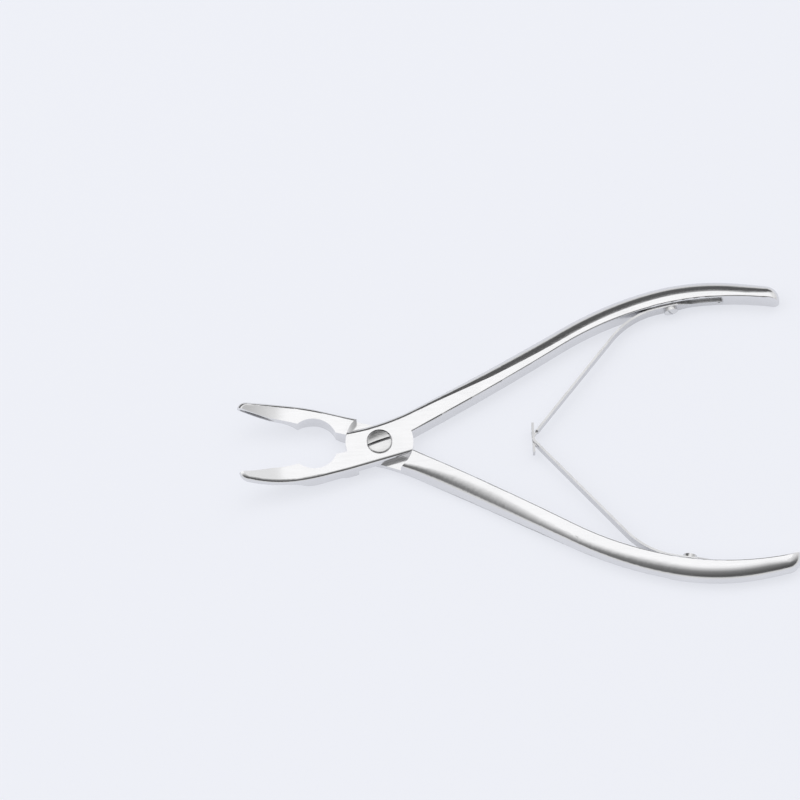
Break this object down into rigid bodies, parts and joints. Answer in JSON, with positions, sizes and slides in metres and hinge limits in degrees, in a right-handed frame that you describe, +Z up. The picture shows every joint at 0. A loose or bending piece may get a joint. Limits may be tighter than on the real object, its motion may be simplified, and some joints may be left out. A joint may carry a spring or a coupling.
{
  "type": "bone rongeur",
  "caption": "Spring-handled bone rongeur with two curved cupped jaws on a screwed lap joint and a hooked pair of leaf springs.",
  "frame": {"origin": "on the pivot axis, in the plane of the hub's flat underside", "axes": "+Z up along the pivot screw towards its slotted head, +X from the pivot towards the handles, +Y towards the handle of the lever whose half of the lap is on top"},
  "size_m": [0.1955, 0.1156, 0.0154],
  "materials": {
    "polished_steel": "polished",
    "screw_steel": "satin",
    "spring_steel": "satin"
  },
  "bodies": {
    "bottom_half": {"bottom_lever": "polished_steel", "pivot_screw": "screw_steel", "slotted_leaf_spring": "spring_steel", "bottom_spring_screw": "screw_steel", "bottom_locating_pin": "screw_steel"},
    "top_half": {"top_lever": "polished_steel", "hooked_leaf_spring": "spring_steel", "top_spring_screw": "screw_steel", "top_locating_pin": "screw_steel"}
  },
  "joints": [
    {"name": "jaw_pivot", "type": "hinge", "parent": "bottom_half", "child": "top_half", "pos_m": [0, 0, 0], "axis": [0, 0, -1], "range_deg": [0, 27.8], "stiffness_Nm_per_rad": 2, "springref_deg": -2.86, "deforming": ["hooked_leaf_spring", "slotted_leaf_spring"]}
  ]
}
